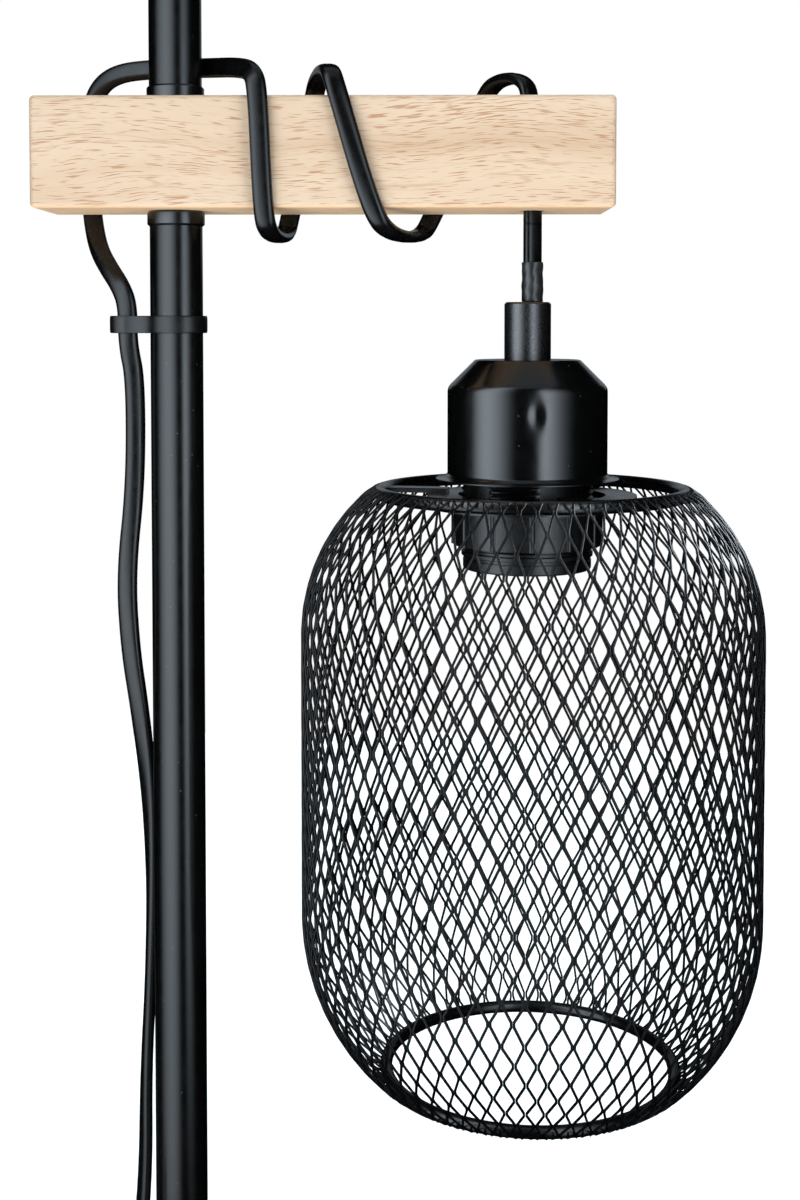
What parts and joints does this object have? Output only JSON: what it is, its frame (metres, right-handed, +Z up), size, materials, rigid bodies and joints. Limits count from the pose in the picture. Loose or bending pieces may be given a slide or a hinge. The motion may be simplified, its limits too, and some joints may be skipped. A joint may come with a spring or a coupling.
{
  "type": "table lamp",
  "caption": "Table lamp with a round foot, a slim steel post, a wooden arm wound with its flat cord, and a barrel-shaped wire-mesh shade that hangs from the arm.",
  "frame": {"origin": "centre of the foot's underside, on the table", "axes": "+Z up along the post, +X along the arm towards the shade, +Y to the back"},
  "size_m": [0.385, 0.1895, 0.4516],
  "materials": {
    "powder_coat": "fine satin powder coat",
    "pad_rubber": "matte",
    "pale_wood": "oiled, fine brown flecks",
    "cord_sheath": "soft gloss",
    "shrink_film": "satin",
    "tie_nylon": "satin",
    "holder_plastic": "satin",
    "block_ceramic": "unglazed",
    "switch_plastic": "fine grain",
    "plug_plastic": "fine grain",
    "zinc_steel": "zinc plated",
    "contact_brass": "bright",
    "pin_nickel": "nickel plated"
  },
  "bodies": {
    "stand": {"foot_plate": "powder_coat", "lower_tube": "powder_coat", "upper_tube": "powder_coat", "lower_collar": "powder_coat", "upper_collar": "powder_coat", "top_cap": "powder_coat", "foot_pad": "pad_rubber", "arm": "pale_wood", "cord_winding": "cord_sheath", "cord_drop": "cord_sheath", "cord_tail": "cord_sheath", "cord_end": "cord_sheath", "cord_coil": "cord_sheath", "cable_tie": "tie_nylon", "coil_tie": "tie_nylon", "switch_base": "switch_plastic", "switch_cover": "switch_plastic", "plug_body": "plug_plastic", "foot_washer": "zinc_steel", "foot_nut": "zinc_steel", "foot_nipple": "zinc_steel", "lower_tube_foot_insert": "zinc_steel", "lower_tube_top_insert": "zinc_steel", "upper_tube_insert": "zinc_steel", "arm_rod": "zinc_steel", "switch_screws": "zinc_steel", "switch_contacts": "contact_brass", "plug_pins": "pin_nickel"},
    "link": {"pendant_link": "cord_sheath"},
    "pendant": {"pendant_cord": "cord_sheath", "heat_shrink_sleeve": "shrink_film", "stem_sleeve": "powder_coat", "grip_screw": "zinc_steel", "lamp_cup": "powder_coat", "holder_dome": "holder_plastic", "holder_barrel": "holder_plastic", "screw_shell": "contact_brass", "terminal_block": "block_ceramic", "centre_contact": "contact_brass", "terminal_screws": "contact_brass", "shade_ring_nut": "holder_plastic", "shade_hub": "powder_coat", "shade_spokes": "powder_coat", "shade_top_ring": "powder_coat", "shade_bottom_ring": "powder_coat", "shade_mesh": "powder_coat"},
    "rocker": {"switch_rocker": "switch_plastic"}
  },
  "joints": [
    {"name": "pendant_swing", "type": "hinge", "parent": "stand", "child": "link", "pos_m": [0.1085, 0, 0.368], "axis": [0, -1, 0], "range_deg": [-6, 25]},
    {"name": "pendant_tilt", "type": "hinge", "parent": "link", "child": "pendant", "pos_m": [0.1085, 0, 0.359], "axis": [1, 0, 0], "range_deg": [-20, 20]},
    {"name": "rocker_press", "type": "hinge", "parent": "stand", "child": "rocker", "pos_m": [-0.14, -0.05, 0.0113], "axis": [0, -1, 0], "range_deg": [0, 14]}
  ]
}
